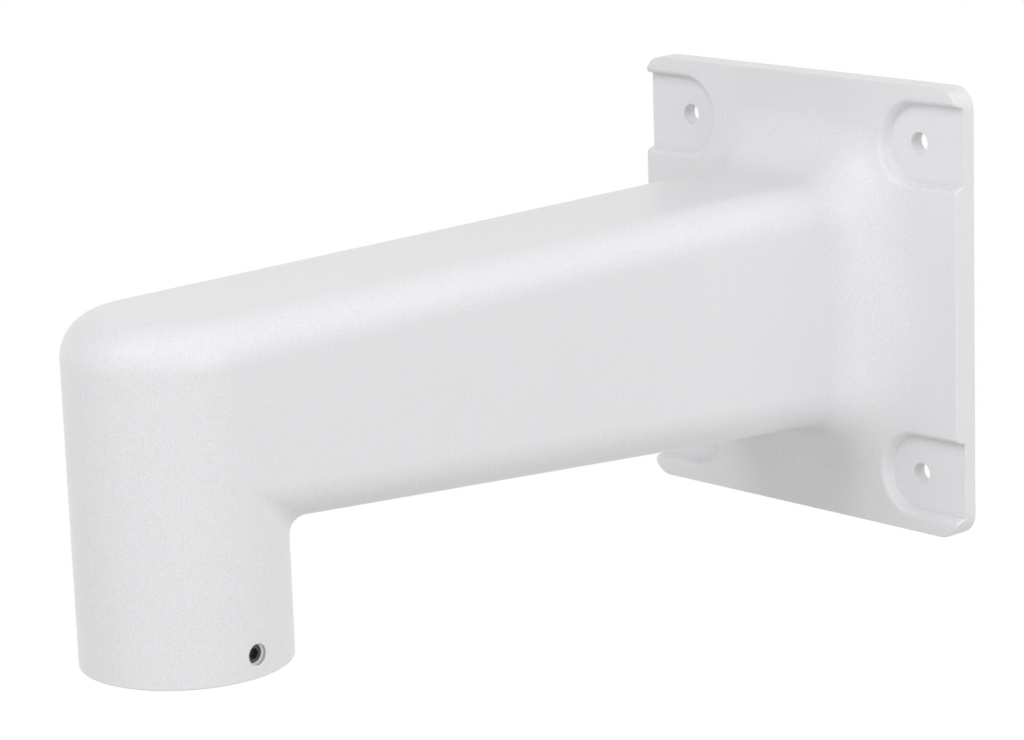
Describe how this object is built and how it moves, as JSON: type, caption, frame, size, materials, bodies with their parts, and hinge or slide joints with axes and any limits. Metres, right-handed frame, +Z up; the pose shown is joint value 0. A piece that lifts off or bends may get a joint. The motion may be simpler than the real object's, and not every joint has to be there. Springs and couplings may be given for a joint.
{
  "type": "camera wall bracket",
  "caption": "Cast wall bracket with a four-bolt plate, a hollow arm and a threaded neck that a pendant camera hangs from.",
  "frame": {"origin": "middle of the wall plate's back face, at the centre of the four bolt holes", "axes": "+Z up; -Y out from the wall along the arm, so +Y points into the wall; +X on the side of the set screw"},
  "size_m": [0.133, 0.2888, 0.1414],
  "materials": {
    "white_powder_coat": "satin powder coat",
    "screw_steel": "dull dark steel",
    "bare_thread": "bare machined aluminium"
  },
  "bodies": {
    "root": {"bracket_casting": "white_powder_coat", "locking_set_screw": "screw_steel"}
  },
  "joints": []
}
